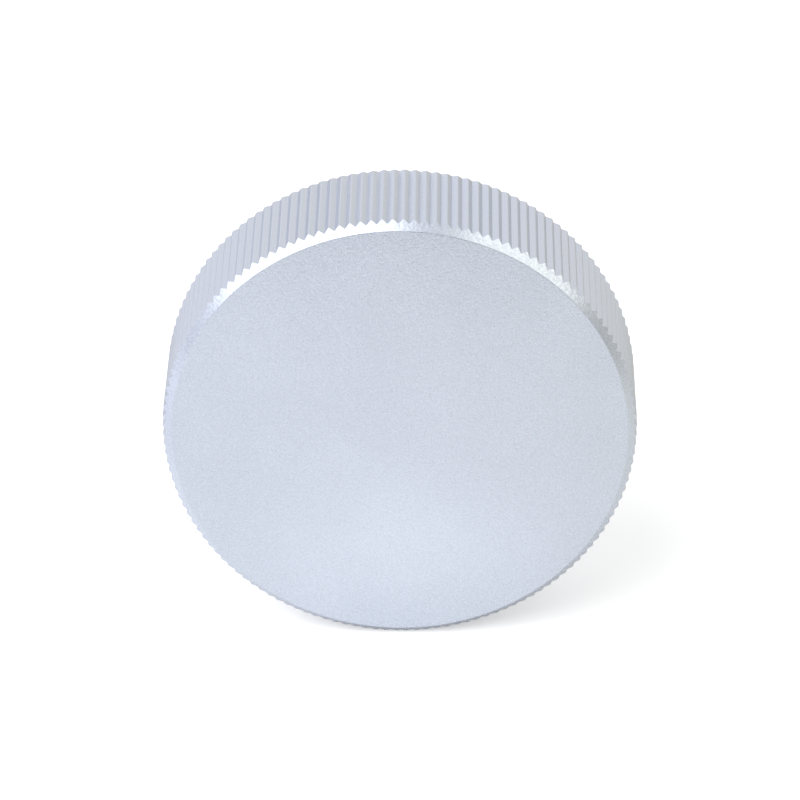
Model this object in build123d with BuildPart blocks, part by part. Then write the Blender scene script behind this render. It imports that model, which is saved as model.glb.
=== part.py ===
from build123d import *
from math import cos, isclose, pi, radians, sin, tan
import os

os.makedirs("parts", exist_ok=True)

# Handwheel: a solid disc turned from one aluminium bar, with a straight-knurled rim and a rear hub. A
# set screw in the hub clamps it on the end of a shaft.
#
# The wheel turns about the Y axis. Its plain face looks to -Y and its hub points to +Y. The origin is
# on the bore's axis, in the plane of the disc's rear face, where the hub begins. Sizes are millimetres
# and degrees.

# Disc
wheel_diameter = 45.0       # over the crests of the knurl
wheel_width = 12.0
face_chamfer = 0.85         # at 45 degrees, round the plain face
rear_chamfer = 1.0          # at 45 degrees, round the rear face

# Straight knurl, rolled along the rim
knurl_teeth = 140
groove_angle = 109.0        # between the two flanks of one groove
crest_width = 0.1           # the land left on top of each tooth
root_width = 0.06           # the flat at the bottom of each groove

# Hub on the rear face
hub_diameter = 20.0
hub_length = 8.0
hub_end_chamfer = 0.5
hub_root_fillet = 1.0

# Blind shaft bore, drilled and reamed from the hub's end
bore_diameter = 8.0
bore_depth = 14.0           # from the hub's end to the start of the drill point
bore_mouth_chamfer = 0.5
drill_point_angle = 118.0

# Tapped cross hole in the hub, and the set screw in it
thread_diameter = 4.0
thread_clearance = 0.05     # radial, between the screw and the wall of its hole
hole_mouth_chamfer = 0.5
countersink_angle = 90.0
screw_point_gap = 0.2       # from the bore's wall to the screw's point, backed off for the shaft
screw_recess = 0.8          # from the hub's crown down to the screw's socket end
socket_end_chamfer = 0.35
point_diameter = 2.5
socket_width = 2.0          # across the flats of the hexagon
socket_depth = 2.0
socket_point_angle = 120.0

# Places and radii worked out from the sizes above
wheel_radius = wheel_diameter / 2
hub_radius = hub_diameter / 2
bore_radius = bore_diameter / 2
bore_floor_y = hub_length - bore_depth
drill_point_depth = bore_radius / tan(radians(drill_point_angle / 2))
cross_hole_y = hub_length / 2
cross_hole_radius = thread_diameter / 2
screw_radius = cross_hole_radius - thread_clearance
screw_point_z = bore_radius + screw_point_gap
screw_socket_z = hub_radius - screw_recess
point_radius = point_diameter / 2
point_chamfer = screw_radius - point_radius
socket_inradius = socket_width / 2
socket_point_depth = socket_inradius / tan(radians(socket_point_angle / 2))


# One pitch of the rim's outline, with its groove on the X axis: the two flanks and the flat between
# them, then the land of the next tooth, which is an arc of the rim. The flanks lean by half the groove
# angle from the X axis, and meet the land at the groove's mouth and the flat at its root.
half_pitch = pi / knurl_teeth
mouth_direction = half_pitch - crest_width / wheel_diameter
mouth_x = wheel_radius * cos(mouth_direction)
mouth_z = wheel_radius * sin(mouth_direction)
root_z = root_width / 2
root_x = mouth_x - (mouth_z - root_z) / tan(radians(groove_angle / 2))
crest_middle = Vector(wheel_radius * cos(half_pitch), wheel_radius * sin(half_pitch))
next_mouth = Vector(mouth_x, -mouth_z).rotate(Axis.Z, 360 / knurl_teeth)

with BuildLine() as knurl_pitch:
    Polyline((mouth_x, -mouth_z), (root_x, -root_z), (root_x, root_z), (mouth_x, mouth_z))
    ThreePointArc((mouth_x, mouth_z), crest_middle, next_mouth)

with BuildPart() as knurled_wheel:
    # Knurled bar, as wide as the disc, with grooves on the X and Z axes
    with BuildSketch(Plane.XZ):
        with BuildLine():
            with PolarLocations(0, knurl_teeth):
                add(knurl_pitch.line)
        make_face()
    extrude(amount=wheel_width)

    # Both ends of the rim are turned down to a chamfer's cone, through the knurl. The profile keeps
    # outside the crests between the two cones.
    with BuildSketch(Plane.XY):
        with BuildLine():
            Polyline(
                (0, 0),
                (wheel_radius - rear_chamfer, 0),
                (wheel_radius + rear_chamfer, -2 * rear_chamfer),
                (wheel_radius + face_chamfer, 2 * face_chamfer - wheel_width),
                (wheel_radius - face_chamfer, -wheel_width),
                (0, -wheel_width),
                close=True,
            )
        make_face()
    revolve(axis=Axis.Y, mode=Mode.INTERSECT)

    # Hub, with a fillet where it leaves the disc and a chamfer round its end
    with BuildSketch(Plane.XZ):
        Circle(hub_radius)
    extrude(amount=-hub_length)
    rings = edges().filter_by(GeomType.CIRCLE).filter_by(lambda ring: isclose(ring.radius, hub_radius))
    hub_root, hub_end = rings.sort_by(Axis.Y)
    fillet(hub_root, hub_root_fillet)
    chamfer(hub_end, hub_end_chamfer)

    # Blind bore: the chamfered mouth, the reamed wall and the drill's point
    with BuildSketch(Plane.XY):
        with BuildLine():
            Polyline(
                (0, hub_length),
                (bore_radius + bore_mouth_chamfer, hub_length),
                (bore_radius, hub_length - bore_mouth_chamfer),
                (bore_radius, bore_floor_y),
                (0, bore_floor_y - drill_point_depth),
                close=True,
            )
        make_face()
    revolve(axis=Axis.Y, mode=Mode.SUBTRACT)

    # Tapped hole from the hub's crown into the bore, with a countersunk mouth
    with Locations((0, cross_hole_y, hub_radius)):
        CounterSinkHole(
            radius=cross_hole_radius,
            counter_sink_radius=cross_hole_radius + hole_mouth_chamfer,
            depth=hub_radius,
            counter_sink_angle=countersink_angle,
        )

knurled_wheel.part.label = "knurled_wheel"
export_step(knurled_wheel.part, "parts/knurled_wheel.step")


# The set screw stands in the tapped hole with its flat point towards the shaft
with BuildPart() as set_screw:
    with BuildSketch(Plane.YZ):
        with BuildLine():
            Polyline(
                (cross_hole_y, screw_point_z),
                (cross_hole_y + point_radius, screw_point_z),
                (cross_hole_y + screw_radius, screw_point_z + point_chamfer),
                (cross_hole_y + screw_radius, screw_socket_z - socket_end_chamfer),
                (cross_hole_y + screw_radius - socket_end_chamfer, screw_socket_z),
                (cross_hole_y, screw_socket_z),
                close=True,
            )
        make_face()
    revolve(axis=Axis((0, cross_hole_y, 0), (0, 0, 1)))

    # Hexagon socket, broached over a drilled hole
    with BuildSketch(Plane.XY.offset(screw_socket_z)):
        with Locations((0, cross_hole_y)):
            RegularPolygon(socket_inradius, side_count=6, major_radius=False)
    extrude(amount=-socket_depth, mode=Mode.SUBTRACT)
    with Locations((0, cross_hole_y, screw_socket_z - socket_depth)):
        Cone(
            bottom_radius=0,
            top_radius=socket_inradius,
            height=socket_point_depth,
            align=(Align.CENTER, Align.CENTER, Align.MAX),
            mode=Mode.SUBTRACT,
        )

set_screw.part.label = "set_screw"
export_step(set_screw.part, "parts/set_screw.step")
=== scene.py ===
"""Looks of the handwheel: a knurled aluminium disc with a rear hub, and the set screw in the hub.

The wheel turns about the Y axis, its plain face looks to -Y and its hub points to +Y. Sizes in the
classes are millimetres and degrees, and meshes are written in metres. A direction round the wheel is
an angle from +Z towards +X.
"""

import logging
import math
from dataclasses import dataclass
from enum import Enum

import bpy
import numpy as np
from mathutils import Matrix, Quaternion, Vector


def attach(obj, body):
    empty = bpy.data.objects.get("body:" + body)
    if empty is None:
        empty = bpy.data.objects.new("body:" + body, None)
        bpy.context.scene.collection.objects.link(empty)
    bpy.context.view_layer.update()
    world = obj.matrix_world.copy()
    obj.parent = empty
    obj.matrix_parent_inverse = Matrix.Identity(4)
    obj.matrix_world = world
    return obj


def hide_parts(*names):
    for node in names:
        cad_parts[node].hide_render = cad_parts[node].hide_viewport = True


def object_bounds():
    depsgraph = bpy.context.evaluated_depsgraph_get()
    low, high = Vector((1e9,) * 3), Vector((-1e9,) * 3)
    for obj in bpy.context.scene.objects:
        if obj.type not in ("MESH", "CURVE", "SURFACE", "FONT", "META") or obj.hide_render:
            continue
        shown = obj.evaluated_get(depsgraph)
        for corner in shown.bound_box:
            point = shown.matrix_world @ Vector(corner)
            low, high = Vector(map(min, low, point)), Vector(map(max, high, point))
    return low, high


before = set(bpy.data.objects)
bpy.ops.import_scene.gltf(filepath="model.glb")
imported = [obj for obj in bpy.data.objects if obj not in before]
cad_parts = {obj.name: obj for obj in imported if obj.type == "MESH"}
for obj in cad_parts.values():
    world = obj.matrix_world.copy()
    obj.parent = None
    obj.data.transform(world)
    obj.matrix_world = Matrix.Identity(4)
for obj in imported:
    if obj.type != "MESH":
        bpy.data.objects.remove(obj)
cad_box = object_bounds()
log = logging.getLogger("handwheel")

MM = 0.001
SLOPE_45 = math.sqrt(0.5)
NOISE_SPAN = (0.3, 0.7)     # where nearly all values of a noise lie
MOST_NOISE = (0.35, 0.65)   # where most of them lie
WHITE = (1.0, 1.0, 1.0, 1.0)
UP = np.array([0.0, 0.0, 1.0])

Pair = tuple[float, float]
Triple = tuple[float, float, float]
Numbers = float | np.ndarray
Socket = bpy.types.NodeSocket


class Surface(Enum):
    """Which of a wheel's finishes a face takes, by its place in the piece's list of materials."""

    BLASTED = 0
    ROLLED = 1
    REAMED = 2


class Shell:
    """A closed surface put together from grids, bands and fans that share their border points."""

    def __init__(self) -> None:
        """Starts with no points and no faces."""
        self.points: list[np.ndarray] = []
        self.count: int = 0
        self.faces: list[np.ndarray] = []
        self.normals: list[np.ndarray] = []
        self.surfaces: list[np.ndarray] = []

    def place(self, points: np.ndarray) -> np.ndarray:
        """Adds points to the shell.

        Args:
            points: Places in millimetres, with x, y and z on the last axis.

        Returns:
            The number of each point, in the shape of the other axes.
        """
        flat = points.reshape(-1, 3)
        numbers = np.arange(self.count, self.count + len(flat)).reshape(points.shape[:-1])
        self.points.append(flat)
        self.count += len(flat)
        return numbers

    def lay(self, faces: np.ndarray, normals: np.ndarray, surface: Surface) -> None:
        """Adds faces with the normal of each of their corners.

        Args:
            faces: Point numbers, one row for each face.
            normals: The outward normal at each corner of each face.
            surface: The finish that the faces take.
        """
        self.faces.append(faces)
        self.normals.append(np.broadcast_to(normals, faces.shape + (3,)))
        self.surfaces.append(np.full(len(faces), surface.value))

    def skin(
        self, grid: np.ndarray, normals: np.ndarray, around: bool = True, surface: Surface = Surface.BLASTED
    ) -> None:
        """Covers a grid of points with four-sided faces, one between each two rows and columns.

        Args:
            grid: Point numbers by row and column.
            normals: The outward normal at each point of the grid.
            around: Whether the last column joins the first.
            surface: The finish that the faces take.
        """
        normals = np.broadcast_to(normals, grid.shape + (3,))
        if around:
            grid = np.concatenate([grid, grid[:, :1]], axis=1)
            normals = np.concatenate([normals, normals[:, :1]], axis=1)
        here, after = slice(None, -1), slice(1, None)
        corners = [(here, here), (after, here), (after, after), (here, after)]
        faces = np.stack([grid[c] for c in corners], axis=-1).reshape(-1, 4)
        corner_normals = np.stack([normals[c] for c in corners], axis=-2).reshape(-1, 4, 3)
        self.lay(faces, corner_normals, surface)

    def taper(self, many: np.ndarray, few: np.ndarray, normal: Triple) -> None:
        """Fills a flat band between a ring of many points and a ring of few.

        Each point of the sparse ring takes a fan of the nearest edges of the dense ring, and one
        more triangle joins each two fans.

        Args:
            many: Point numbers of the dense ring.
            few: Point numbers of the sparse ring, a whole share of the dense one's.
            normal: The outward normal of the band.
        """
        ratio = len(many) // len(few)
        half = ratio // 2
        edge = np.arange(len(many))
        nearest = ((edge + half) // ratio) % len(few)
        fans = np.stack([many, np.roll(many, -1), few[nearest]], axis=-1)
        place = np.arange(len(few))
        joint = (ratio * place + ratio - half) % len(many)
        joins = np.stack([many[joint], few, np.roll(few, -1)], axis=-1)
        self.lay(np.concatenate([fans, joins]), np.array(normal), Surface.BLASTED)

    def close(
        self, ring: np.ndarray, normals: np.ndarray, pole: Triple, surface: Surface = Surface.BLASTED
    ) -> None:
        """Closes a ring with triangles to one point.

        Args:
            ring: Point numbers of the ring.
            normals: The outward normal at each point of the ring.
            pole: The point that closes it, in millimetres.
            surface: The finish that the faces take.
        """
        middle = self.place(np.array([pole]))[0]
        normals = np.broadcast_to(normals, ring.shape + (3,))
        faces = np.stack([ring, np.roll(ring, -1), np.full_like(ring, middle)], axis=-1)
        following = np.roll(normals, -1, axis=0)
        between = normals + following
        between = between / np.linalg.norm(between, axis=-1, keepdims=True)
        self.lay(faces, np.stack([normals, following, between], axis=1), surface)

    def finish(self, name: str, materials: list[bpy.types.Material]) -> bpy.types.Object:
        """Makes the object, with every face turned outwards and its corner normals kept.

        Args:
            name: The piece's name.
            materials: One material for each surface, in the order of the Surface names.

        Returns:
            The object, linked to the scene.
        """
        points = np.concatenate(self.points)
        loops: list[np.ndarray] = []
        corner_normals: list[np.ndarray] = []
        for faces, normals in zip(self.faces, self.normals):
            first = points[faces[:, 2]] - points[faces[:, 0]]
            second = points[faces[:, -1]] - points[faces[:, 1]]
            inward = np.einsum("ij,ij->i", np.cross(first, second), normals.mean(axis=1)) < 0
            loops.append(np.where(inward[:, None], faces[:, ::-1], faces).ravel())
            turned = np.where(inward[:, None, None], normals[:, ::-1], normals)
            corner_normals.append(turned.reshape(-1, 3))
        corners = np.concatenate(loops)
        sizes = np.concatenate([np.full(len(f), f.shape[1]) for f in self.faces])

        mesh = bpy.data.meshes.new(name)
        mesh.vertices.add(len(points))
        mesh.vertices.foreach_set("co", (points * MM).astype(np.float32).ravel())
        mesh.loops.add(len(corners))
        mesh.loops.foreach_set("vertex_index", corners.astype(np.int32))
        mesh.polygons.add(len(sizes))
        mesh.polygons.foreach_set("loop_start", (np.cumsum(sizes) - sizes).astype(np.int32))
        mesh.polygons.foreach_set("material_index", np.concatenate(self.surfaces).astype(np.int32))
        mesh.update(calc_edges=True)
        if mesh.validate():
            log.warning("%s had faces that Blender took out", name)
        mesh.shade_smooth()
        mesh.normals_split_custom_set(np.concatenate(corner_normals))
        for material in materials:
            mesh.materials.append(material)
        piece = bpy.data.objects.new(name, mesh)
        bpy.context.scene.collection.objects.link(piece)
        return piece


@dataclass
class Path:
    """A turned outline in the half plane through the wheel's axis.

    The outline runs with the metal on its left, so its outward normal is its direction turned a
    quarter towards the larger radius when it climbs along +Y.

    Attributes:
        radius: Distance from the axis at each point.
        height: Place along Y at each point.
        along: Direction at each point, as its share in radius and in height.
    """

    radius: np.ndarray
    height: np.ndarray
    along: np.ndarray

    @staticmethod
    def corner(before: Pair, after: Pair, rounding: float, steps: int) -> tuple[np.ndarray, np.ndarray]:
        """Rounds one corner with an arc that both of its runs touch.

        The arc's points are the corner, less the touching length along the first run, plus the
        rounding times the sine of the turned angle along that run, plus the rounding times one
        less its cosine across the run.

        Args:
            before: Unit direction of the run into the corner.
            after: Unit direction of the run out of it.
            rounding: The arc's radius.
            steps: How many pieces the arc has.

        Returns:
            Offsets of the arc's points from the corner, and the outline's direction at each.
        """
        first, second = np.array(before), np.array(after)
        turn = math.acos(max(-1.0, min(1.0, float(first @ second))))
        across = (second - first * math.cos(turn)) / math.sin(turn)
        angle = np.linspace(0.0, turn, steps + 1)[:, None]
        touching = rounding * math.tan(turn / 2)
        offset = -touching * first + rounding * (np.sin(angle) * first + (1 - np.cos(angle)) * across)
        return offset, np.cos(angle) * first + np.sin(angle) * across

    @classmethod
    def through(cls, corners: list[Triple], steps: int) -> "Path":
        """Draws straight runs through rounded corners.

        Args:
            corners: Radius, height and rounding of each corner; the two ends have no rounding.
            steps: How many pieces each arc has.

        Returns:
            The outline.
        """
        spots = np.array([c[:2] for c in corners])
        runs = np.diff(spots, axis=0)
        runs /= np.linalg.norm(runs, axis=1, keepdims=True)
        places, directions = [spots[:1]], [runs[:1]]
        for number in range(1, len(corners) - 1):
            offset, along = cls.corner(runs[number - 1], runs[number], corners[number][2], steps)
            places.append(spots[number] + offset)
            directions.append(along)
        places.append(spots[-1:])
        directions.append(runs[-1:])
        place = np.concatenate(places)
        return cls(place[:, 0], place[:, 1], np.concatenate(directions))

    def between(self, low: int, high: int) -> "Path":
        """Returns the part of the outline from one point's number up to another's."""
        return Path(self.radius[low:high], self.height[low:high], self.along[low:high])


def evenly(count: int) -> np.ndarray:
    """Returns the directions of evenly spread points round one turn, in radians."""
    return np.arange(count) * 2 * np.pi / count


def spin(radius: Numbers, angle: Numbers, height: Numbers) -> np.ndarray:
    """Places points round the wheel's axis.

    x is the radius times the sine of the angle, y the height, and z the radius times its cosine.

    Args:
        radius: Distance from the axis.
        angle: Direction round it, in radians from +Z towards +X.
        height: Place along Y.

    Returns:
        The points, with x, y and z on a new last axis.
    """
    radius, angle, height = np.broadcast_arrays(radius, angle, height)
    return np.stack([radius * np.sin(angle), height, radius * np.cos(angle)], axis=-1)


def face_out(outward: Numbers, sideways: Numbers, upward: Numbers, angle: Numbers) -> np.ndarray:
    """Turns normals from the wheel's own directions into x, y and z, with a length of one.

    Args:
        outward: Share away from the axis.
        sideways: Share along the growing angle.
        upward: Share along Y.
        angle: Direction round the wheel at each point.

    Returns:
        Unit normals, with x, y and z on a new last axis.
    """
    outward, sideways, upward, angle = np.broadcast_arrays(outward, sideways, upward, angle)
    x = outward * np.sin(angle) + sideways * np.cos(angle)
    z = outward * np.cos(angle) - sideways * np.sin(angle)
    normal = np.stack([x, upward, z], axis=-1)
    return normal / np.linalg.norm(normal, axis=-1, keepdims=True)


def lean_of(points: np.ndarray, towards: np.ndarray) -> np.ndarray:
    """Works out the normals of a grid that closes on itself, from the lines between neighbours.

    A normal is the cross product of the line from the row before to the row after with the line
    from the column before to the column after, turned to agree with a given direction.

    Args:
        points: Places by row and column.
        towards: A direction at each point that lies on the open side of the surface.

    Returns:
        Unit normals by row and column.
    """
    along = np.gradient(points, axis=0)
    across = np.roll(points, -1, axis=1) - np.roll(points, 1, axis=1)
    normal = np.cross(along, across)
    normal /= np.linalg.norm(normal, axis=-1, keepdims=True)
    wrong = np.einsum("ijk,ijk->ij", normal, np.broadcast_to(towards, points.shape)) < 0
    return np.where(wrong[..., None], -normal, normal)


@dataclass(frozen=True)
class CrossThread:
    """The M4 thread that the tapped hole and the set screw share, about a line along +Z.

    Attributes:
        middle: Place of the line along Y.
        major: Radius at the bottom of the hole's thread.
        minor: Radius at the hole's crests.
        pitch: Rise in one turn.
        root_flat: Width of the flat at the bottom of the hole's thread.
        flank: Angle between a flank and the plane across the line, in degrees.
        clearance: Radial gap between the screw and its hole.
        columns: Points round one turn.
    """

    middle: float = 4.0
    major: float = 2.0
    minor: float = 1.64
    pitch: float = 0.7
    root_flat: float = 0.09
    flank: float = 30.0
    clearance: float = 0.05
    columns: int = 96

    def angles(self) -> np.ndarray:
        """Returns the directions of one turn, from +X towards +Y."""
        return evenly(self.columns)

    def radius(self, angle: np.ndarray, height: Numbers) -> np.ndarray:
        """Gives the hole's radius at a direction and a height.

        Along a right-hand helix the height less the angle's share of the pitch stays the same. The
        distance from that helix, along the axis, gives a flank between two flats.

        Args:
            angle: Direction from +X towards +Y.
            height: Place along Z.

        Returns:
            The radius, between minor and major.
        """
        turn = height / self.pitch - angle / (2 * np.pi)
        distance = np.abs(turn - np.round(turn)) * self.pitch
        rise = (distance - self.root_flat / 2) / math.tan(math.radians(self.flank))
        return self.major - np.clip(rise, 0.0, self.major - self.minor)

    def around(self, radius: Numbers, angle: Numbers, height: Numbers) -> np.ndarray:
        """Places points round the hole's line, at angles from +X towards +Y and heights along Z."""
        radius, angle, height = np.broadcast_arrays(radius, angle, height)
        return np.stack([radius * np.cos(angle), self.middle + radius * np.sin(angle), height], axis=-1)

    def away(self) -> np.ndarray:
        """Returns the unit directions away from the line, at the angles of one turn."""
        return np.stack([np.cos(self.angles()), np.sin(self.angles()), np.zeros(self.columns)], axis=-1)


THREAD = CrossThread()


class NodeBoard:
    """One material's or world's node tree, with short calls that add and join its nodes."""

    def __init__(self, tree: bpy.types.NodeTree) -> None:
        """Empties the tree."""
        self.tree = tree
        tree.nodes.clear()

    def add(self, kind: str, inputs: dict | None = None, **settings: object) -> bpy.types.Node:
        """Adds a node.

        Args:
            kind: The node's type name in Blender.
            inputs: Values or other nodes' sockets for its inputs, by name or number.
            settings: Its other settings.

        Returns:
            The node.
        """
        node = self.tree.nodes.new(kind)
        for setting, value in settings.items():
            setattr(node, setting, value)
        for socket, value in (inputs or {}).items():
            if isinstance(value, Socket):
                self.tree.links.new(value, node.inputs[socket])
            else:
                node.inputs[socket].default_value = value
        return node

    def get(self, kind: str, inputs: dict | None = None, output: int | str = 0, **settings: object) -> Socket:
        """Adds a node and returns one of its outputs, by name or number."""
        return self.add(kind, inputs, **settings).outputs[output]

    def join(self, operation: str, first: Socket | float, second: Socket | float) -> Socket:
        """Joins two numbers by an operation of the Math node, and returns the result."""
        return self.get("ShaderNodeMath", {0: first, 1: second}, operation=operation)

    def ranged(self, value: Socket, source: Pair, target: Pair, **settings: object) -> Socket:
        """Maps one span of values to another, kept at its ends, and returns the result."""
        inputs = {0: value, 1: source[0], 2: source[1], 3: target[0], 4: target[1]}
        return self.get("ShaderNodeMapRange", inputs, **settings)

    def varied(self, noise: Socket, middle: float, change: float, span: Pair = NOISE_SPAN) -> Socket:
        """Returns a number that follows a noise's span about its middle, by the change at most."""
        return self.ranged(noise, span, (middle - change, middle + change))

    def place(self) -> Socket:
        """Returns the shaded point in Object coordinates."""
        return self.get("ShaderNodeTexCoord", output="Object")

    def noise(self, width: float, detail: float = 2.0) -> Socket:
        """Adds a noise with grains of the width, in millimetres, and returns its value."""
        inputs = {"Vector": self.place(), "Scale": 1 / (width * MM), "Detail": detail}
        return self.get("ShaderNodeTexNoise", inputs)

    def streaks(self, widths: Triple) -> Socket:
        """Adds a noise with stretched grains.

        Args:
            widths: The grains' widths along x, y and z, in millimetres.

        Returns:
            The noise's value.
        """
        scale = tuple(1 / (width * MM) for width in widths)
        stretched = self.get("ShaderNodeMapping", {"Vector": self.place(), "Scale": scale})
        return self.get("ShaderNodeTexNoise", {"Vector": stretched, "Scale": 1.0})

    def scaled(self, color: Socket | Triple, factor: Socket | float) -> Socket:
        """Multiplies a colour by a number, and returns the result."""
        return self.get("ShaderNodeVectorMath", {0: color, "Scale": factor}, operation="SCALE")

    def rays(self) -> tuple[Socket, Socket]:
        """Tells the kinds of rays apart.

        Returns:
            What is 1 for the camera's own rays, and what is 1 for mirrored or refracted ones.
        """
        path = self.add("ShaderNodeLightPath").outputs
        mirror = self.join("MAXIMUM", path["Is Glossy Ray"], path["Is Transmission Ray"])
        return path["Is Camera Ray"], mirror


@dataclass(frozen=True)
class Finish:
    """A metal's finish: its colour, and a pattern that shades, dulls and roughens it.

    Attributes:
        name: The material's name.
        color: The metal's colour.
        shade_change: How much lighter and darker its pattern makes it.
        roughness: How dull it is.
        dull_change: How far its pattern changes that.
        depth: Depth of its grain in millimetres.
    """

    name: str
    color: Triple
    shade_change: float
    roughness: float
    dull_change: float
    depth: float

    def pattern(self, board: NodeBoard) -> tuple[Socket, Socket, Socket]:
        """Draws what multiplies the colour, the roughness, and the height of the grain."""
        raise NotImplementedError

    def material(self) -> bpy.types.Material:
        """Builds the material.

        Returns:
            A metal with the finish's pattern.
        """
        material = bpy.data.materials.new(self.name)
        material.use_nodes = True
        board = NodeBoard(material.node_tree)
        shade, dull, height = self.pattern(board)
        metal = {
            "Base Color": board.scaled(self.color, shade),
            "Metallic": 1.0,
            "Roughness": dull,
            "Normal": board.get("ShaderNodeBump", {"Height": height, "Distance": self.depth * MM}),
        }
        shader = board.get("ShaderNodeBsdfPrincipled", metal)
        board.add("ShaderNodeOutputMaterial", {"Surface": shader})
        return material


@dataclass(frozen=True)
class BlastedAnodising(Finish):
    """Bead-blasted, clear-anodised aluminium: satin grey-blue with a fine dimpled grain.

    Attributes:
        dimple: Width of a dimple in millimetres.
        cloud: Width of the slow shifts of tone in millimetres.
        cloud_change: How much lighter and darker these make it.
        speck_spacing: Distance between dark specks in millimetres.
        speck_radius: Radius of the largest specks in millimetres.
        speck_core: Share of that radius over which a speck is fully dark.
        speck_shade: How much darker than the metal the darkest specks are.
        speckless: Share of the specks that are too faint to be there.
    """

    name: str = "blasted_anodised_aluminium"
    color: Triple = (0.597, 0.646, 0.746)
    shade_change: float = 0.02
    roughness: float = 0.28
    dull_change: float = 0.05
    depth: float = 0.0175
    dimple: float = 0.28
    cloud: float = 9.0
    cloud_change: float = 0.015
    speck_spacing: float = 1.1
    speck_radius: float = 0.08
    speck_core: float = 0.5
    speck_shade: float = 0.22
    speckless: float = 0.3

    def pattern(self, board: NodeBoard) -> tuple[Socket, Socket, Socket]:
        """Draws dimples with slow shifts of tone, a fine grain and a few dark specks.

        Args:
            board: The material's nodes.

        Returns:
            The shade, the roughness and the height.
        """
        grain = board.noise(self.dimple, detail=1.0)
        tone = board.varied(board.noise(self.cloud), 1.0, self.cloud_change, MOST_NOISE)
        scale = 1 / (self.speck_spacing * MM)
        cells = board.add("ShaderNodeTexVoronoi", {"Vector": board.place(), "Scale": scale}).outputs
        reach = self.speck_radius / self.speck_spacing
        near = board.ranged(cells["Distance"], (self.speck_core * reach, reach), (1.0, 0.0))
        chance = board.get("ShaderNodeSeparateColor", {"Color": cells["Color"]})
        strength = board.ranged(chance, (self.speckless, 1.0), (0.0, self.speck_shade))
        speck = board.join("MULTIPLY", near, strength)
        shade = board.join("MULTIPLY", tone, board.varied(grain, 1.0, self.shade_change))
        shade = board.join("MULTIPLY", shade, board.join("SUBTRACT", 1.0, speck))
        return shade, board.varied(grain, self.roughness, self.dull_change), grain


@dataclass(frozen=True)
class RolledAnodising(Finish):
    """The knurl's flanks and crests: anodised aluminium pressed smooth by the rolls, then lightly blasted.

    Attributes:
        streak: Width of the fine streaks that run along the teeth, in millimetres.
        streak_length: Their length in millimetres.
        grain: Width of the blasted grain in millimetres.
    """

    name: str = "rolled_anodised_aluminium"
    color: Triple = (0.597, 0.635, 0.713)
    shade_change: float = 0.025
    roughness: float = 0.3
    dull_change: float = 0.04
    depth: float = 0.004
    streak: float = 0.1
    streak_length: float = 5.0
    grain: float = 0.2

    def pattern(self, board: NodeBoard) -> tuple[Socket, Socket, Socket]:
        """Draws streaks along the axis and a fine shallow grain.

        Args:
            board: The material's nodes.

        Returns:
            The shade, the roughness and the height.
        """
        streaks = board.streaks((self.streak, self.streak_length, self.streak))
        height = board.join("ADD", streaks, board.noise(self.grain))
        both = (2 * MOST_NOISE[0], 2 * MOST_NOISE[1])
        shade = board.varied(height, 1.0, self.shade_change, both)
        return shade, board.varied(streaks, self.roughness, self.dull_change), height


@dataclass(frozen=True)
class ReamedAnodising(Finish):
    """Anodised aluminium as the reamer and the tap left it, with fine lines round the cut.

    Attributes:
        shade: Middle of its lighter and darker lines.
        line_spacing: Distance between tool lines in millimetres.
        line_length: How far a line runs before it changes, in millimetres.
    """

    name: str = "reamed_aluminium"
    color: Triple = (0.56, 0.59, 0.63)
    shade_change: float = 0.06
    roughness: float = 0.28
    dull_change: float = 0.06
    depth: float = 0.002
    shade: float = 0.99
    line_spacing: float = 0.12
    line_length: float = 50 / 3

    def pattern(self, board: NodeBoard) -> tuple[Socket, Socket, Socket]:
        """Draws lines across the bore.

        Args:
            board: The material's nodes.

        Returns:
            The shade, the roughness and the height.
        """
        lines = board.streaks((self.line_length, self.line_spacing, self.line_length))
        shade = board.varied(lines, self.shade, self.shade_change)
        return shade, board.varied(lines, self.roughness, self.dull_change), lines


@dataclass(frozen=True)
class ScrewSteel(Finish):
    """Plain stainless steel of the set screw, tumbled satin.

    Attributes:
        grain: Width of its grain in millimetres.
        cloud: Width of the slow shifts of tone in millimetres.
    """

    name: str = "screw_steel"
    color: Triple = (0.5, 0.5, 0.51)
    shade_change: float = 0.1
    roughness: float = 0.3
    dull_change: float = 0.08
    depth: float = 0.002
    grain: float = 0.12
    cloud: float = 1.5

    def pattern(self, board: NodeBoard) -> tuple[Socket, Socket, Socket]:
        """Draws a fine tumbled grain and slow shifts of tone.

        Args:
            board: The material's nodes.

        Returns:
            The shade, the roughness and the height.
        """
        grain = board.noise(self.grain, detail=3.0)
        shade = board.varied(board.noise(self.cloud), 1.0, self.shade_change)
        return shade, board.varied(grain, self.roughness, self.dull_change), grain


@dataclass(frozen=True)
class KnurlSection:
    """The rim's outline across the axis, with one entry for each column of the rim's grid.

    Attributes:
        radius: Distance from the axis.
        angle: Direction round the axis in radians.
        outward: Share of the outline's normal away from the axis.
        sideways: Share of it along the growing angle.
    """

    radius: np.ndarray
    angle: np.ndarray
    outward: np.ndarray
    sideways: np.ndarray


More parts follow.
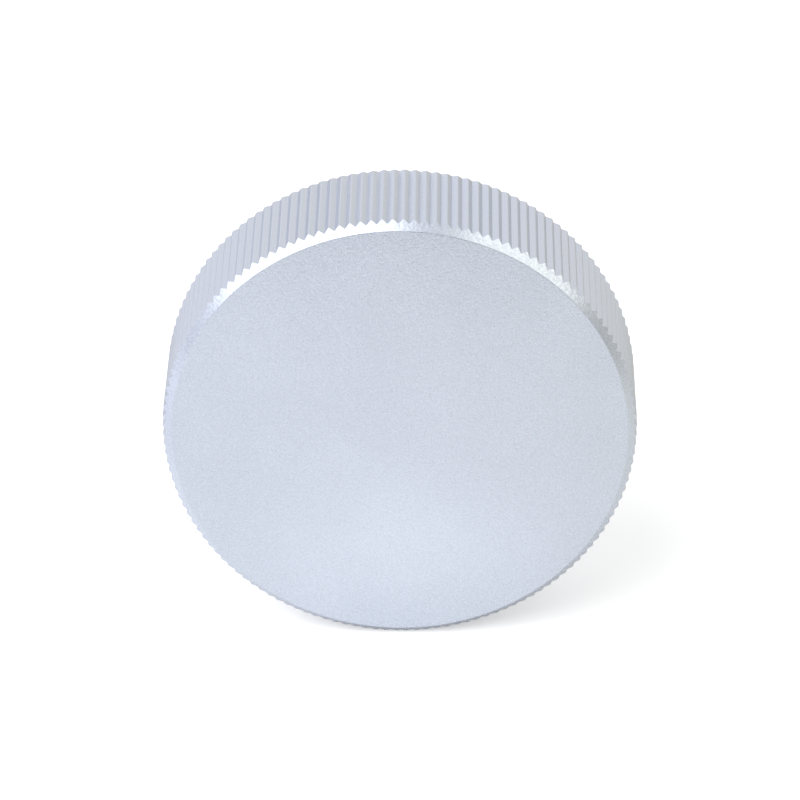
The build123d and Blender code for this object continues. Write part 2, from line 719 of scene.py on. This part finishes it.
@dataclass
class KnurledWheel:
    """The turned and knurled disc with its hub, shaft bore and tapped cross hole.

    Attributes:
        radius: Over the crests of the knurl.
        width: From the plain face to the disc's rear face.
        face_chamfer: Chamfer round the plain face.
        rear_chamfer: Chamfer round the rear face.
        turned_edge: Rounding left on the turned edges by blasting.
        knurl_edge: Rounding left where the chamfers cut the knurl.
        teeth: Number of teeth.
        groove_angle: Angle between the flanks of one groove.
        crest_radius: Rounding on top of a tooth.
        root_radius: Rounding at the bottom of a groove.
        hub_radius: Radius of the hub.
        hub_length: Length of the hub behind the disc.
        hub_root: Fillet where the hub leaves the disc.
        hub_end_chamfer: Chamfer round the hub's end.
        bore_radius: Radius of the shaft bore.
        bore_floor: Place along Y where the bore's wall ends.
        bore_mouth: Chamfer of the bore's mouth.
        drill_angle: Point angle of the drill.
        countersink: Depth of the tapped hole's 90 degree countersink.
        hub_columns: Points round the hub.
        bore_columns: Points round the bore.
        root_points: Points across the bottom of a groove.
        crest_points: Points across the top of a tooth.
        face_ring: Radius at which the plain face and the rear face go over to the hub's columns.
        core_radius: Radius of the innermost ring on the plain face.
        core_columns: Points round that ring.
        end_rings: Radii on the hub's end, between which its columns go over to the bore's.
        patch_reach: Columns and rows from a cross hole's middle to the border of its patch.
        patch_half: Half the length of a patch along Y.
        patch_rings: Rings from a patch's border to the hole's edge, with both of these.
        hole_rows: Points along the tapped hole.
        thread_fade: Share of a turn over which the hole's thread fades out at each end.
        edge_steps: Pieces of each rounded edge.
        root_steps: Pieces of the fillet at the hub's root.
    """

    radius: float = 22.5
    width: float = 12.0
    face_chamfer: float = 0.85
    rear_chamfer: float = 1.0
    turned_edge: float = 0.09
    knurl_edge: float = 0.05
    teeth: int = 140
    groove_angle: float = 110.0
    crest_radius: float = 0.15
    root_radius: float = 0.04
    hub_radius: float = 10.0
    hub_length: float = 8.0
    hub_root: float = 1.0
    hub_end_chamfer: float = 0.5
    bore_radius: float = 4.0
    bore_floor: float = -6.0
    bore_mouth: float = 0.5
    drill_angle: float = 118.0
    countersink: float = 0.5
    hub_columns: int = 224
    bore_columns: int = 112
    root_points: int = 5
    crest_points: int = 7
    face_ring: float = 15.0
    core_radius: float = 4.0
    core_columns: int = 28
    end_rings: Pair = (7.0, 6.0)
    patch_reach: int = 12
    patch_half: float = 3.0
    patch_rings: int = 7
    hole_rows: int = 90
    thread_fade: float = 0.35
    edge_steps: int = 4
    root_steps: int = 8

    def knurl_section(self) -> KnurlSection:
        """Draws the rim's outline from arcs and straight flanks that touch them.

        In one pitch, with the groove's middle on the local vertical, a normal that leans by the
        angle a is (-sin a, cos a). The groove's bottom is the root circle's middle less its radius
        times the normal, and the tooth's top is the crest circle's middle plus its radius times the
        normal. Both arcs end where the normal leans as the flank's does, and the flanks run straight
        between their ends. The root circle's middle lies on the vertical, at the height where the
        flank touches both circles.

        Returns:
            The outline of all the teeth, from the first groove's right-hand end on.
        """
        half_groove = math.radians(self.groove_angle / 2)
        half_pitch = math.pi / self.teeth
        lean = math.pi / 2 - half_groove
        crest_height = self.radius - self.crest_radius
        crest_middle = crest_height * np.array([math.sin(half_pitch), math.cos(half_pitch)])
        flank = np.array([-math.sin(lean), math.cos(lean)])
        reach = crest_middle @ flank + self.crest_radius + self.root_radius
        root_middle = np.array([0.0, reach / math.cos(lean)])

        root_lean = np.linspace(-lean, lean, self.root_points)
        crest_lean = np.linspace(lean, -lean - 2 * half_pitch, self.crest_points)
        root_normal = np.stack([-np.sin(root_lean), np.cos(root_lean)], axis=-1)
        crest_normal = np.stack([-np.sin(crest_lean), np.cos(crest_lean)], axis=-1)
        root = root_middle - self.root_radius * root_normal
        crest = crest_middle + self.crest_radius * crest_normal
        cosine, sine = math.cos(2 * half_pitch), math.sin(2 * half_pitch)
        next_root = root[0] @ np.array([[cosine, -sine], [sine, cosine]])
        share = np.array([[1 / 3], [2 / 3]])
        rising = root[-1] + share * (crest[0] - root[-1])
        falling = crest[-1] + share * (next_root - crest[-1])
        place = np.concatenate([root, rising, crest, falling])
        both = np.ones((2, 1))
        normal = np.concatenate([root_normal, both * root_normal[-1], crest_normal, both * crest_normal[-1]])

        distance = np.hypot(place[:, 0], place[:, 1])
        outward = np.einsum("ij,ij->i", normal, place) / distance
        sideways = (normal[:, 0] * place[:, 1] - normal[:, 1] * place[:, 0]) / distance
        tooth = 2 * half_pitch * np.arange(self.teeth)[:, None]
        angle = (np.arctan2(place[:, 0], place[:, 1])[None, :] + tooth).ravel()
        return KnurlSection(
            np.tile(distance, self.teeth), angle, np.tile(outward, self.teeth), np.tile(sideways, self.teeth)
        )

    def rim_band(
        self,
        section: KnurlSection,
        corner: tuple[np.ndarray, np.ndarray],
        follow: float,
        before: Pair,
        after: Pair,
        rounding: float,
    ) -> tuple[np.ndarray, np.ndarray]:
        """Rounds one of the rim's edges all the way round.

        Each column's arc stands on its own corner. The normal is the cross product of the direction
        along the rounding with the direction along the edge, which moves in height by follow times
        its move in radius.

        Args:
            section: The rim's outline.
            corner: Radius and height of the edge's sharp corner in each column.
            follow: How far the corner climbs for each millimetre that the knurl's radius grows.
            before: Direction of the outline into the corner.
            after: Direction of the outline out of it.
            rounding: The edge's rounding.

        Returns:
            Points and normals, by row across the edge and column round the rim.
        """
        offset, along = Path.corner(before, after, rounding, self.edge_steps)
        radius, height = corner[0] + offset[:, :1], corner[1] + offset[:, 1:]
        out, up = along[:, :1], along[:, 1:]
        outward, sideways = (section.outward, section.sideways) if follow else (1.0, 0.0)
        normals = face_out(up * outward, (up - out * follow) * sideways, -out * outward, section.angle)
        return spin(radius, section.angle, height), normals

    def rim(self, section: KnurlSection) -> tuple[np.ndarray, np.ndarray]:
        """Builds the rim from the plain face's edge to the rear face's edge.

        A chamfer is a cone, so the height at which it cuts the knurl grows or falls as the knurl's
        radius does, and the cut follows the teeth.

        Args:
            section: The rim's outline.

        Returns:
            Points and normals by row and column.
        """
        even = np.ones_like(section.radius)
        lost = self.radius - section.radius
        face_edge = ((self.radius - self.face_chamfer) * even, -self.width * even)
        face_cut = (section.radius, self.face_chamfer - self.width - lost)
        rear_cut = (section.radius, lost - self.rear_chamfer)
        rear_edge = ((self.radius - self.rear_chamfer) * even, 0 * even)
        out, up, back = (1.0, 0.0), (0.0, 1.0), (-1.0, 0.0)
        opening, closing = (SLOPE_45, SLOPE_45), (-SLOPE_45, SLOPE_45)
        bands = [
            self.rim_band(section, face_edge, 0.0, out, opening, self.turned_edge),
            self.rim_band(section, face_cut, 1.0, opening, up, self.knurl_edge),
            self.rim_band(section, rear_cut, -1.0, up, closing, self.knurl_edge),
            self.rim_band(section, rear_edge, 0.0, closing, back, self.turned_edge),
        ]
        return np.concatenate([b[0] for b in bands]), np.concatenate([b[1] for b in bands])

    def turned(
        self, shell: Shell, path: Path, columns: int, first: np.ndarray, surface: Surface
    ) -> np.ndarray:
        """Spins an outline about the wheel's axis.

        Args:
            shell: Takes the faces.
            path: The outline.
            columns: Points round the axis.
            first: Point numbers of a ring that is there already, at the outline's first point.
            surface: The finish of the faces.

        Returns:
            Point numbers of the last ring.
        """
        angle = evenly(columns)
        points = spin(path.radius[:, None], angle, path.height[:, None])
        normals = face_out(path.along[:, 1:], 0.0, -path.along[:, :1], angle)
        grid = np.concatenate([first[None, :], shell.place(points[1:])])
        shell.skin(grid, normals, surface=surface)
        return grid[-1]

    def patch_ends(self) -> Pair:
        """Returns the places along Y where the cross hole's patches begin and end."""
        return THREAD.middle - self.patch_half, THREAD.middle + self.patch_half

    def square_loop(self) -> tuple[np.ndarray, np.ndarray]:
        """Walks round a patch's square border in steps that match the hole's columns.

        Both places are a folded line with flat tops, cut off at one and at minus one, and the second
        is the first a quarter of the way on.

        Returns:
            Columns and rows from the middle at each step.
        """
        step = np.arange(8 * self.patch_reach) / self.patch_reach
        across = np.clip(np.abs(step - 4) - 2, -1, 1)
        along = np.clip(np.abs((step - 2) % 8 - 4) - 2, -1, 1)
        reach = self.patch_reach
        return np.rint(across * reach).astype(int), np.rint(along * reach).astype(int)

    def pierced(
        self,
        shell: Shell,
        radius: float,
        low: np.ndarray,
        high: np.ndarray,
        hole: np.ndarray,
        inward: bool,
        surface: Surface,
    ) -> None:
        """Builds a stretch of a cylinder round the cross hole.

        Away from the hole it is a plain grid. Round it, rings go from the square border to the
        hole's edge by an even blend of their angle and height, and all lie on the cylinder.

        Args:
            shell: Takes the faces.
            radius: The cylinder's radius.
            low: Point numbers of the ring at the patch's lower end.
            high: Point numbers of the ring at its upper end.
            hole: Point numbers of the hole's edge.
            inward: Whether the open side is towards the axis.
            surface: The finish of the faces.
        """
        columns = len(low)
        reach = self.patch_reach
        heights = np.linspace(*self.patch_ends(), 2 * reach + 1)
        kept = np.arange(reach, columns - reach + 1)
        angle = evenly(columns)[kept]
        numbers = np.full((2 * reach + 1, columns), -1)
        numbers[0], numbers[-1] = low, high
        numbers[1:-1, kept] = shell.place(spin(radius, angle, heights[1:-1, None]))
        sign = -1.0 if inward else 1.0
        shell.skin(numbers[:, kept], face_out(sign, 0.0, 0.0, angle), around=False, surface=surface)

        across, along = self.square_loop()
        border = numbers[along + reach, across % columns]
        edge = np.concatenate(shell.points)[hole]
        edge_angle = np.arctan2(edge[:, 0], edge[:, 2])
        share = np.linspace(0.0, 1.0, self.patch_rings)[:, None]
        ring_angle = (1 - share) * (across * 2 * np.pi / columns) + share * edge_angle
        ring_height = (1 - share) * heights[along + reach] + share * edge[:, 1]
        rings = shell.place(spin(radius, ring_angle[1:-1], ring_height[1:-1]))
        grid = np.concatenate([border[None, :], rings, hole[None, :]])
        shell.skin(grid, face_out(sign, 0.0, 0.0, ring_angle), surface=surface)

    def cross_hole(self, shell: Shell) -> tuple[np.ndarray, np.ndarray]:
        """Builds the tapped hole from the hub's crown to the bore.

        The countersink is a cone whose radius grows with z, and it ends where z squared plus x
        squared is the hub's radius squared. Below it the wall follows the thread, which fades out
        towards both of its ends, down to where the bore's cylinder cuts it.

        Args:
            shell: Takes the faces.

        Returns:
            Point numbers of the edge on the hub and of the edge on the bore's wall.
        """
        angle = THREAD.angles()
        lift = self.hub_radius - self.countersink - THREAD.major
        square = np.cos(angle) ** 2
        half = lift * square
        root = np.sqrt(half**2 - (1 + square) * (square * lift**2 - self.hub_radius**2))
        mouth_height = (half + root) / (1 + square)
        mouth = THREAD.around(mouth_height - lift, angle, mouth_height)
        top = self.hub_radius - self.countersink
        bottom = np.sqrt(self.bore_radius**2 - (THREAD.major * np.cos(angle)) ** 2)
        height = top + np.linspace(0.0, 1.0, self.hole_rows)[:, None] * (bottom - top)
        fade = np.minimum(top - height, height - bottom) / (self.thread_fade * THREAD.pitch)
        radius = THREAD.major - np.clip(fade, 0.0, 1.0) * (THREAD.major - THREAD.radius(angle, height))
        wall = THREAD.around(radius, angle, height)

        mouth_ring = shell.place(mouth)
        wall_rings = shell.place(wall)
        cone = (UP - THREAD.away()) * SLOPE_45
        shell.skin(np.stack([mouth_ring, wall_rings[0]]), cone, surface=Surface.REAMED)
        shell.skin(wall_rings, lean_of(wall, -THREAD.away()), surface=Surface.REAMED)
        return mouth_ring, wall_rings[-1]

    def plain_face(self, shell: Shell, edge: np.ndarray) -> None:
        """Fills the plain face, from the rim's edge to the middle.

        Args:
            shell: Takes the faces.
            edge: Point numbers of the rim's first ring.
        """
        forward = (0.0, -1.0, 0.0)
        ring = shell.place(spin(self.face_ring, evenly(self.hub_columns), -self.width))
        core = shell.place(spin(self.core_radius, evenly(self.core_columns), -self.width))
        shell.taper(edge, ring, forward)
        shell.taper(ring, core, forward)
        shell.close(core, np.array(forward), (0.0, -self.width, 0.0))

    def hub(self, shell: Shell, edge: np.ndarray, hole: np.ndarray) -> np.ndarray:
        """Builds the rear face and the hub.

        Args:
            shell: Takes the faces.
            edge: Point numbers of the rim's last ring.
            hole: Point numbers of the cross hole's edge on the hub.

        Returns:
            Point numbers of the ring on the hub's end where its own columns stop.
        """
        radius, end, rounding = self.hub_radius, self.hub_length, self.turned_edge
        low, high = self.patch_ends()
        spread = evenly(self.hub_columns)
        corners = [(self.face_ring, 0.0, 0.0), (radius, 0.0, self.hub_root), (radius, low, 0.0)]
        root = Path.through(corners, self.root_steps)
        rear_ring = shell.place(spin(self.face_ring, spread, 0.0))
        shell.taper(edge, rear_ring, (0.0, 1.0, 0.0))
        crown_low = self.turned(shell, root.between(0, -1), self.hub_columns, rear_ring, Surface.BLASTED)
        crown_high = shell.place(spin(radius, spread, high))
        self.pierced(shell, radius, crown_low, crown_high, hole, False, Surface.BLASTED)
        corners = [
            (radius, high, 0.0),
            (radius, end - self.hub_end_chamfer, rounding),
            (radius - self.hub_end_chamfer, end, rounding),
            (self.end_rings[0], end, 0.0),
        ]
        outline = Path.through(corners, self.edge_steps)
        return self.turned(shell, outline, self.hub_columns, crown_high, Surface.BLASTED)

    def bore(self, shell: Shell, outer: np.ndarray, hole: np.ndarray) -> None:
        """Builds the inner part of the hub's end and the bore, down to the drill's point.

        Args:
            shell: Takes the faces.
            outer: Point numbers of the ring on the hub's end where its own columns stop.
            hole: Point numbers of the cross hole's edge on the bore's wall.
        """
        radius, end, rounding, floor = self.bore_radius, self.hub_length, self.turned_edge, self.bore_floor
        low, high = self.patch_ends()
        spread = evenly(self.bore_columns)
        inner = shell.place(spin(self.end_rings[1], spread, end))
        shell.taper(outer, inner, (0.0, 1.0, 0.0))
        corners = [
            (self.end_rings[1], end, 0.0),
            (radius + self.bore_mouth, end, rounding),
            (radius, end - self.bore_mouth, rounding),
            (radius, high, 0.0),
        ]
        entry = Path.through(corners, self.edge_steps)
        edge = self.edge_steps + 1
        flat, cut = entry.between(0, edge + 1), entry.between(edge, len(entry.radius))
        mouth = self.turned(shell, flat, self.bore_columns, inner, Surface.BLASTED)
        wall_high = self.turned(shell, cut, self.bore_columns, mouth, Surface.REAMED)
        wall_low = shell.place(spin(radius, spread, low))
        self.pierced(shell, radius, wall_low, wall_high, hole, True, Surface.REAMED)
        tip = floor - radius / math.tan(math.radians(self.drill_angle / 2))
        corners = [(radius, low, 0.0), (radius, floor, rounding), (0.0, tip, 0.0)]
        bottom = Path.through(corners, self.edge_steps)
        drilled = self.turned(shell, bottom.between(0, -1), self.bore_columns, wall_low, Surface.REAMED)
        cone = face_out(bottom.along[-1, 1], 0.0, -bottom.along[-1, 0], spread)
        shell.close(drilled, cone, (0.0, tip, 0.0), Surface.REAMED)

    def build(self) -> bpy.types.Object:
        """Builds the whole wheel as one closed surface.

        Returns:
            The piece.
        """
        shell = Shell()
        points, normals = self.rim(self.knurl_section())
        rim = shell.place(points)
        teeth = slice(len(rim) // 2 - 1, len(rim) // 2 + 1)
        shell.skin(rim[: teeth.start + 1], normals[: teeth.start + 1])
        shell.skin(rim[teeth], normals[teeth], surface=Surface.ROLLED)
        shell.skin(rim[teeth.stop - 1 :], normals[teeth.stop - 1 :])
        front, rear = np.roll(rim[[0, -1]], -(self.root_points // 2), axis=1)
        self.plain_face(shell, front)
        hub_edge, bore_edge = self.cross_hole(shell)
        hub_end = self.hub(shell, rear, hub_edge)
        self.bore(shell, hub_end, bore_edge)

        finishes = [BlastedAnodising(), RolledAnodising(), ReamedAnodising()]
        piece = shell.finish("knurled_wheel_turned", [f.material() for f in finishes])
        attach(piece, "root")
        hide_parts("knurled_wheel")
        log.info("%s: %d faces", piece.name, len(piece.data.polygons))
        return piece


@dataclass
class SetScrew:
    """The set screw: a threaded stud with a flat point and a hexagon socket.

    Attributes:
        point: Place along Z of the flat point.
        head: Place along Z of the socket's end.
        point_radius: Radius of the flat point.
        head_chamfer: Chamfer round the socket's end.
        socket: Half the width across the hexagon's flats.
        socket_depth: Depth of the hexagon.
        drill_radius: Radius of the hole under it.
        socket_angle: Point angle of that hole.
        mouth: Chamfer of the socket's mouth.
        rows_per_turn: Rows of the grid in one turn of the thread.
    """

    point: float = 4.2
    head: float = 9.2
    point_radius: float = 1.25
    head_chamfer: float = 0.35
    socket: float = 1.0
    socket_depth: float = 2.0
    drill_radius: float = 0.995
    socket_angle: float = 120.0
    mouth: float = 0.06
    rows_per_turn: int = 12

    def hexagon(self, half_width: float, angle: np.ndarray) -> np.ndarray:
        """Gives a hexagon's radius: half its width over the cosine of the angle to the nearest flat."""
        return half_width / np.cos(np.mod(angle, math.pi / 3) - math.pi / 6)

    def stud(self, shell: Shell) -> np.ndarray:
        """Builds the threaded outside and the flat point.

        Its radius is the least of three: the hole's thread less the clearance, the cone of the
        point's chamfer and the cone of the head's chamfer.

        Args:
            shell: Takes the faces.

        Returns:
            Point numbers of the ring at the socket's end.
        """
        angle = THREAD.angles()
        rows = int((self.head - self.point) / THREAD.pitch * self.rows_per_turn) + 1
        height = np.linspace(self.point, self.head, rows)[:, None]
        thread = THREAD.radius(angle, height) - THREAD.clearance
        tip = self.point_radius + height - self.point
        end = THREAD.major - THREAD.clearance - self.head_chamfer + self.head - height
        points = THREAD.around(np.minimum(np.minimum(thread, tip), end), angle, height)
        body = shell.place(points)
        shell.skin(body, lean_of(points, THREAD.away()))
        shell.close(body[0], -UP, (0.0, THREAD.middle, self.point))
        return body[-1]

    def hollow(self, shell: Shell, outer: np.ndarray) -> None:
        """Builds the flat end and the socket in it: its mouth's chamfer, six flats and the drilled hole.

        Args:
            shell: Takes the faces.
            outer: Point numbers of the ring round the flat end.
        """
        angle = THREAD.angles()
        bottom = self.head - self.socket_depth
        flats = self.hexagon(self.socket, angle)
        rim = shell.place(THREAD.around(self.hexagon(self.socket + self.mouth, angle), angle, self.head))
        upper = shell.place(THREAD.around(flats, angle, self.head - self.mouth))
        lower = shell.place(THREAD.around(flats, angle, bottom))
        shell.skin(np.stack([outer, rim]), UP)
        sixth = THREAD.columns // 6
        for side in range(6):
            span = np.arange(side * sixth, (side + 1) * sixth + 1) % THREAD.columns
            middle = (side + 0.5) * math.pi / 3
            facing = -np.array([math.cos(middle), math.sin(middle), 0.0])
            shell.skin(np.stack([rim[span], upper[span]]), (facing + UP) * SLOPE_45, around=False)
            shell.skin(np.stack([upper[span], lower[span]]), facing, around=False)
        drilled = shell.place(THREAD.around(self.drill_radius, angle, bottom))
        shell.skin(np.stack([lower, drilled]), UP)
        steep = math.radians(self.socket_angle / 2)
        cone = UP * math.sin(steep) - THREAD.away() * math.cos(steep)
        shell.close(drilled, cone, (0.0, THREAD.middle, bottom - self.socket / math.tan(steep)))

    def build(self) -> bpy.types.Object:
        """Builds the screw as one closed surface.

        Returns:
            The piece.
        """
        shell = Shell()
        self.hollow(shell, self.stud(shell))
        piece = shell.finish("set_screw_threaded", [ScrewSteel().material()])
        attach(piece, "root")
        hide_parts("set_screw")
        log.info("%s: %d faces", piece.name, len(piece.data.polygons))
        return piece


@dataclass(frozen=True)
class Softbox:
    """A soft rectangular lamp that looks at the wheel.

    Attributes:
        name: The lamp's name.
        place: Where it stands, in millimetres.
        size: Its width and height in millimetres.
        level: Brightness of its face, where 1 is white.
        roll: How far it is turned about its own line of sight, in degrees.
        color: Colour of its light.
        mirrored: Whether the metal shows it; one that isn't mirrored lights the floor alone.
        aim: The point that it looks at, in millimetres.
    """

    name: str
    place: Triple
    size: Pair
    level: float
    roll: float = 0.0
    color: Triple = (1.0, 1.0, 1.0)
    mirrored: bool = True
    aim: Triple = (0.0, -11.0, 0.0)

    def build(self) -> bpy.types.Object:
        """Builds the lamp.

        Its power is four times its face's area times its level, as Blender counts it.

        Returns:
            The lamp's object.
        """
        lamp = bpy.data.lights.new(self.name, "AREA")
        lamp.shape = "RECTANGLE"
        lamp.size, lamp.size_y = self.size[0] * MM, self.size[1] * MM
        lamp.energy = 4 * lamp.size * lamp.size_y * self.level
        lamp.color = self.color
        stand = bpy.data.objects.new(self.name, lamp)
        stand.location = Vector(self.place) * MM
        facing = (Vector(self.aim) - Vector(self.place)).to_track_quat("-Z", "Y")
        stand.rotation_mode = "QUATERNION"
        stand.rotation_quaternion = facing @ Quaternion((0, 0, 1), math.radians(self.roll))
        stand.visible_camera = False
        stand.visible_glossy = self.mirrored
        bpy.context.scene.collection.objects.link(stand)
        return stand


@dataclass
class Studio:
    """The pale floor, the white surroundings and the softboxes.

    Attributes:
        floor_reach: How far the floor runs to the sides and the rear, in millimetres.
        floor_front: Place along Y of the floor's front edge, in millimetres.
        floor_color: How much light the floor gives back.
        floor_glow: White that the floor adds for the camera, near the wheel and far from it.
        glow_reach: Distances from the wheel between which that grows, in millimetres.
        foot: A pool of light that only the metal mirrors, close in front of the wheel: the place of
            its middle along X and Y and its reach, in millimetres, and its strength.
        side: Another such pool, at the wheel's left.
        ambient: Level of the surroundings on the object and the floor.
        bright_side: Direction of the brightest surroundings.
        mirrored: Levels of the surroundings in reflections, opposite that direction and in it.
        front_shade: What is left of it straight in front, where the dark of the room is.
        front_span: Depths of a direction between which that shade fades out.
        tints: Colours of the surroundings in reflections, at the far left and the far right.
        tint_span: Shares of a direction along X between which the left goes over to the right.
        tint_reach: How far to the left and right the floor takes these tints as painted coloured light, in
            millimetres.
    """

    floor_reach: float = 2500.0
    floor_front: float = -122.0
    floor_color: float = 0.9
    floor_glow: Pair = (0.4, 0.55)
    glow_reach: Pair = (210.0, 700.0)
    foot: tuple[float, ...] = (0.0, -30.0, 26.0, 0.19)
    side: tuple[float, ...] = (-36.0, -8.0, 36.0, 0.1)
    ambient: float = 0.59
    bright_side: Triple = (-0.65, 0.55, 0.52)
    mirrored: Pair = (0.58, 1.08)
    front_shade: float = 0.5
    front_span: Pair = (-0.97, -0.8)
    tints: tuple[tuple[float, ...], ...] = ((0.99, 0.99, 1.03, 1.0), (1.02, 1.0, 0.925, 1.0))
    tint_span: Pair = (-0.3, 0.65)
    tint_reach: float = 80.0

    def tint(self, board: NodeBoard, warmth: Socket, mirror: Socket) -> Socket:
        """Mixes the tints by warmth, from 0 at the left to 1, in mirrored rays, with white in others."""
        sides = board.get("ShaderNodeMixRGB", {0: warmth, 1: self.tints[0], 2: self.tints[1]})
        return board.get("ShaderNodeMixRGB", {0: mirror, 1: WHITE, 2: sides})

    def pool(self, board: NodeBoard, height: float, shape: tuple[float, ...]) -> Socket:
        """Adds a round pool of light on the floor.

        Args:
            board: The node tree that takes it.
            height: The floor's place along Z, in metres.
            shape: X and Y of its middle, its reach and its strength.

        Returns:
            The strength, which fades smoothly from the middle to nothing at its reach.
        """
        x, y, reach, strength = shape
        ends = {0: board.place(), 1: Vector((x * MM, y * MM, height))}
        away = board.get("ShaderNodeVectorMath", ends, "Value", operation="DISTANCE")
        return board.ranged(away, (0.0, reach * MM), (strength, 0.0), interpolation_type="SMOOTHSTEP")

    def floor(self, height: float) -> bpy.types.Object:
        """Lays the floor.

        Args:
            height: Its place along Z, in metres.

        Returns:
            The floor.
        """
        reach, front = self.floor_reach * MM, self.floor_front * MM
        outline = ((-reach, front), (reach, front), (reach, reach), (-reach, reach))
        mesh = bpy.data.meshes.new("studio_floor")
        mesh.from_pydata([(x, y, height) for x, y in outline], [], [(0, 1, 2, 3)])
        material = bpy.data.materials.new("studio_floor")
        material.use_nodes = True
        board = NodeBoard(material.node_tree)
        camera, mirror = board.rays()
        # Painted light: in reflections the floor's colour is tinted cool at the left and warm at the right,
        # for coloured light falling on it.
        across = board.get("ShaderNodeSeparateXYZ", {0: board.place()})
        warmth = board.ranged(across, (-self.tint_reach * MM, self.tint_reach * MM), (0.0, 1.0))
        shade = board.scaled(self.tint(board, warmth, mirror), self.floor_color)
        paint = board.get("ShaderNodeBsdfDiffuse", {"Color": shade})
        pools = board.join("ADD", self.pool(board, height, self.foot), self.pool(board, height, self.side))
        near = board.join("MULTIPLY", pools, mirror)
        distance = board.get("ShaderNodeVectorMath", {0: board.place()}, "Value", operation="LENGTH")
        white = board.ranged(distance, tuple(d * MM for d in self.glow_reach), self.floor_glow)
        strength = board.get("ShaderNodeMix", {0: camera, 2: near, 3: white})
        glow = board.get("ShaderNodeEmission", {"Strength": strength})
        both = board.get("ShaderNodeAddShader", {0: paint, 1: glow})
        board.add("ShaderNodeOutputMaterial", {"Surface": both})
        mesh.materials.append(material)
        floor = bpy.data.objects.new("studio_floor", mesh)
        bpy.context.scene.collection.objects.link(floor)
        return floor

    def surroundings(self) -> None:
        """Sets the world: white to the camera, a soft slope of greys in reflections, plain on surfaces."""
        world = bpy.data.worlds.new("studio_world")
        world.use_nodes = True
        board = NodeBoard(world.node_tree)
        camera, mirror = board.rays()
        direction = board.get("ShaderNodeTexCoord", output="Generated")
        sides = {0: direction, 1: self.bright_side}
        side = board.get("ShaderNodeVectorMath", sides, "Value", operation="DOT_PRODUCT")
        across, depth, _ = board.add("ShaderNodeSeparateXYZ", {0: direction}).outputs
        slope = board.ranged(side, (-1.0, 1.0), self.mirrored)
        shaded = board.ranged(depth, self.front_span, (self.front_shade, 1.0))
        mirrored = board.join("MULTIPLY", slope, shaded)
        level = board.get("ShaderNodeMix", {0: mirror, 2: self.ambient, 3: mirrored})
        level = board.get("ShaderNodeMix", {0: camera, 2: level, 3: 1.0})
        tint = self.tint(board, board.ranged(across, self.tint_span, (0.0, 1.0)), mirror)
        light = board.get("ShaderNodeBackground", {"Color": tint, "Strength": level})
        board.add("ShaderNodeOutputWorld", {"Surface": light})
        bpy.context.scene.world = world

    def build(self, height: float) -> None:
        """Sets up the whole studio.

        Args:
            height: The floor's place along Z, in metres.
        """
        self.floor(height)
        self.surroundings()
        boxes = [
            Softbox("key_softbox", (-160.0, -146.0, 214.0), (390.0, 254.0), 1.0, 50.0),
            Softbox("floor_softbox", (-172.0, -151.0, 219.0), (374.0, 260.0), 1.38, 49.7, mirrored=False),
            Softbox("right_softbox", (325.0, -212.0, 290.0), (395.0, 120.0), 0.93, -57.0, (1.0, 0.985, 0.86)),
        ]
        for box in boxes:
            box.build()
        log.info("studio: floor, world and %d softboxes", len(boxes))


@dataclass
class PhotoCamera:
    """The camera, at the photograph's angle and distance.

    Attributes:
        azimuth: Direction that it looks along, in degrees from +Y towards -X.
        elevation: How far it looks down.
        roll: How far it is tipped over.
        distance: Depth of the plain face's middle in front of it, in millimetres.
        right: How far that middle lies to the right of the optical axis.
        below: How far it lies below the axis.
        focal_pixels: Focal length in pixels of the photograph.
        image_pixels: Side of the photograph in pixels.
        sensor: Width of the sensor in millimetres.
        face: The middle of the plain face in millimetres.
        clip: Nearest and farthest distance that it sees, in metres.
    """

    azimuth: float = 0.8907
    elevation: float = 29.6474
    roll: float = -0.3766
    distance: float = 457.261
    right: float = -0.0425
    below: float = 3.2297
    focal_pixels: float = 4830.4
    image_pixels: float = 800.0
    sensor: float = 36.0
    face: Triple = (0.0, -12.0, 0.0)
    clip: Pair = (0.01, 20.0)

    def build(self) -> bpy.types.Object:
        """Builds the camera and makes it the scene's.

        Returns:
            The camera.
        """
        turn, drop, tip = (math.radians(a) for a in (self.azimuth, self.elevation, self.roll))
        forward = Vector((-math.sin(turn) * math.cos(drop), math.cos(turn) * math.cos(drop), -math.sin(drop)))
        level = forward.cross(Vector((0, 0, 1))).normalized()
        upright = level.cross(forward)
        right = level * math.cos(tip) + upright * math.sin(tip)
        up = upright * math.cos(tip) - level * math.sin(tip)
        place = Vector(self.face) - right * self.right + up * self.below - forward * self.distance
        lens = bpy.data.cameras.new("photo_camera")
        lens.sensor_width = self.sensor
        lens.lens = self.focal_pixels / self.image_pixels * self.sensor
        lens.clip_start, lens.clip_end = self.clip
        camera = bpy.data.objects.new("photo_camera", lens)
        axes = Matrix((right, up, -forward)).transposed().to_4x4()
        camera.matrix_world = Matrix.Translation(place * MM) @ axes
        bpy.context.scene.collection.objects.link(camera)
        bpy.context.scene.camera = camera
        return camera


def main() -> None:
    """Builds the camera, the wheel, the screw and the studio in order."""
    logging.basicConfig(level=logging.INFO, format="%(name)s: %(message)s")
    bpy.context.scene.view_settings.view_transform = "Standard"
    PhotoCamera().build()
    KnurledWheel().build()
    SetScrew().build()
    Studio().build(cad_box[0].z)


if __name__ == "__main__":
    main()
